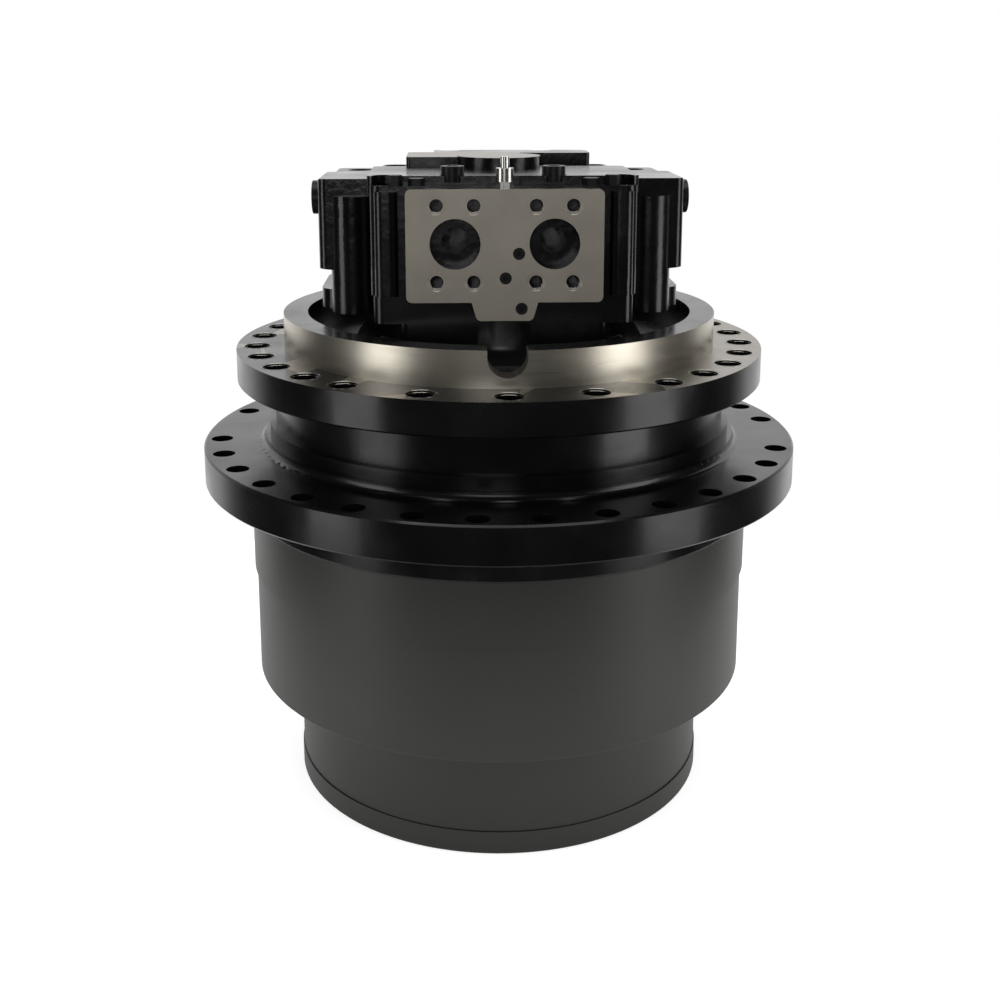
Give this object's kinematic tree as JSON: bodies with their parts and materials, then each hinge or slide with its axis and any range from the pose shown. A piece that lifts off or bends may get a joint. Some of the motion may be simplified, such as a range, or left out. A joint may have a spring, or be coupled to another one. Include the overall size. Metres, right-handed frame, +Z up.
{
  "type": "excavator final drive",
  "caption": "Crawler travel drive: axial piston motor with valve block and port face, frame flange with pilot ring, turning hub with sprocket flange, two-stage planetary gear drums.",
  "frame": {"origin": "centre of the end cover's outer face, on the axis of the drive", "axes": "+Z up the axis to the valve block; the port face looks along -Y; +X to the right seen from the front"},
  "size_m": [0.4999, 0.5, 0.5395],
  "materials": {
    "black_gloss_paint": "gloss",
    "satin_paint": "satin",
    "cast_black": "gloss cast texture",
    "bare_steel": "machined",
    "gear_steel": "ground",
    "screw_black": "black oxide",
    "zinc": "zinc plated",
    "bronze": "machined",
    "nitrile": "matt",
    "friction_paper": "sintered"
  },
  "bodies": {
    "frame_side": {"spindle": "black_gloss_paint", "rear_cover": "cast_black", "rear_cover_screws": "screw_black", "gallery_plugs": "screw_black", "bleed_fitting": "zinc", "spool_caps": "screw_black", "speed_spool_plug": "screw_black", "relief_valves": "screw_black", "carrier_2": "bare_steel", "planet_pins_2": "gear_steel", "planet_bushes_2": "bronze", "thrust_washers_2": "bronze", "main_bearing_inner_rings": "gear_steel", "bearing_nut": "gear_steel", "seal_ring_fixed": "gear_steel", "toric_ring_fixed": "nitrile", "valve_plate": "bronze", "separator_plates": "gear_steel", "shaft_bearing_outer_rings": "gear_steel", "oil_seal": "nitrile", "brake_spring": "gear_steel"},
    "hub_side": {"hub": "black_gloss_paint", "ring_gear_2": "satin_paint", "ring_gear_1": "satin_paint", "end_cover": "satin_paint", "cover_plugs": "screw_black", "cover_screws": "screw_black", "hub_screws": "screw_black", "thrust_button": "gear_steel", "main_bearing_outer_rings": "gear_steel", "seal_ring_rotating": "gear_steel", "toric_ring_rotating": "nitrile"},
    "main_rollers": {"main_bearing_rollers": "gear_steel"},
    "motor_rotor": {"motor_shaft": "gear_steel", "input_shaft": "gear_steel", "cylinder_block": "gear_steel", "ball_guide": "gear_steel", "pistons": "gear_steel", "friction_discs": "friction_paper", "shaft_bearing_inner_rings": "gear_steel"},
    "shaft_rollers": {"shaft_bearing_rollers": "gear_steel"},
    "carrier_1_group": {"carrier_1": "bare_steel", "planet_pins_1": "gear_steel", "planet_bushes_1": "bronze", "thrust_washers_1": "bronze", "sun_gear_2": "gear_steel"},
    "planet_1a": {"planet_gear_1a": "gear_steel"},
    "planet_1b": {"planet_gear_1b": "gear_steel"},
    "planet_1c": {"planet_gear_1c": "gear_steel"},
    "planet_2a": {"planet_gear_2a": "gear_steel"},
    "planet_2b": {"planet_gear_2b": "gear_steel"},
    "planet_2c": {"planet_gear_2c": "gear_steel"},
    "swash": {"swash_plate": "gear_steel"},
    "shoe_group": {"shoes": "bronze", "shoe_retainer": "gear_steel"},
    "control_piston_body": {"control_piston": "gear_steel"},
    "brake_piston_body": {"brake_piston": "gear_steel"},
    "counterbalance_spool_body": {"counterbalance_spool": "gear_steel"},
    "speed_spool_body": {"speed_spool": "gear_steel"}
  },
  "joints": [
    {"name": "hub_spin", "type": "hinge", "parent": "frame_side", "child": "hub_side", "pos_m": [0, 0, 0], "axis": [0, 0, 1], "continuous": true, "deforming": ["pistons"]},
    {"name": "main_rollers_spin", "type": "hinge", "parent": "frame_side", "child": "main_rollers", "pos_m": [0, 0, 0], "axis": [0, 0, 1], "continuous": true},
    {"name": "carrier_1_spin", "type": "hinge", "parent": "frame_side", "child": "carrier_1_group", "pos_m": [0, 0, 0], "axis": [0, 0, 1], "continuous": true},
    {"name": "motor_spin", "type": "hinge", "parent": "frame_side", "child": "motor_rotor", "pos_m": [0, 0, 0], "axis": [0, 0, 1], "continuous": true},
    {"name": "shaft_rollers_spin", "type": "hinge", "parent": "frame_side", "child": "shaft_rollers", "pos_m": [0, 0, 0], "axis": [0, 0, 1], "continuous": true},
    {"name": "planet_2a_spin", "type": "hinge", "parent": "frame_side", "child": "planet_2a", "pos_m": [0, 0.099, 0.139], "axis": [0, 0, 1], "continuous": true},
    {"name": "planet_2b_spin", "type": "hinge", "parent": "frame_side", "child": "planet_2b", "pos_m": [-0.08574, -0.0495, 0.139], "axis": [0, 0, 1], "continuous": true},
    {"name": "planet_2c_spin", "type": "hinge", "parent": "frame_side", "child": "planet_2c", "pos_m": [0.08574, -0.0495, 0.139], "axis": [0, 0, 1], "continuous": true},
    {"name": "planet_1a_spin", "type": "hinge", "parent": "carrier_1_group", "child": "planet_1a", "pos_m": [0, 0.081, 0.064], "axis": [0, 0, 1], "continuous": true},
    {"name": "planet_1b_spin", "type": "hinge", "parent": "carrier_1_group", "child": "planet_1b", "pos_m": [-0.07015, -0.0405, 0.064], "axis": [0, 0, 1], "continuous": true},
    {"name": "planet_1c_spin", "type": "hinge", "parent": "carrier_1_group", "child": "planet_1c", "pos_m": [0.07015, -0.0405, 0.064], "axis": [0, 0, 1], "continuous": true},
    {"name": "swash_tilt", "type": "hinge", "parent": "frame_side", "child": "swash", "pos_m": [0, 0, 0.34], "axis": [1, 0, 0], "range_deg": [-7, 0]},
    {"name": "shoe_spin", "type": "hinge", "parent": "swash", "child": "shoe_group", "pos_m": [0, 0, 0.34], "axis": [0, -0.2588, 0.9659], "continuous": true},
    {"name": "control_piston_slide", "type": "slide", "parent": "frame_side", "child": "control_piston_body", "axis": [0, 0, 1], "range_m": [0, 0.0092]},
    {"name": "brake_release", "type": "slide", "parent": "frame_side", "child": "brake_piston_body", "axis": [0, 0, 1], "range_m": [0, 0.0025], "deforming": ["brake_spring"]},
    {"name": "spool_shift", "type": "slide", "parent": "frame_side", "child": "counterbalance_spool_body", "axis": [1, 0, 0], "range_m": [-0.008, 0.008]},
    {"name": "speed_shift", "type": "slide", "parent": "frame_side", "child": "speed_spool_body", "axis": [0, 1, 0], "range_m": [0, 0.006]}
  ],
  "couplings": [
    {"joint": "main_rollers_spin", "follows": "hub_spin", "ratio": 0.5251},
    {"joint": "carrier_1_spin", "follows": "hub_spin", "ratio": -4.5},
    {"joint": "motor_spin", "follows": "hub_spin", "ratio": -38.6},
    {"joint": "shaft_rollers_spin", "follows": "hub_spin", "ratio": -16.543},
    {"joint": "planet_2a_spin", "follows": "hub_spin", "ratio": 2.5714},
    {"joint": "planet_2b_spin", "follows": "hub_spin", "ratio": 2.5714},
    {"joint": "planet_2c_spin", "follows": "hub_spin", "ratio": 2.5714},
    {"joint": "planet_1a_spin", "follows": "hub_spin", "ratio": 13.115},
    {"joint": "planet_1b_spin", "follows": "hub_spin", "ratio": 13.115},
    {"joint": "planet_1c_spin", "follows": "hub_spin", "ratio": 13.115},
    {"joint": "shoe_spin", "follows": "hub_spin", "ratio": -38.6},
    {"joint": "control_piston_slide", "follows": "swash_tilt", "m_per_rad": -0.0728}
  ]
}
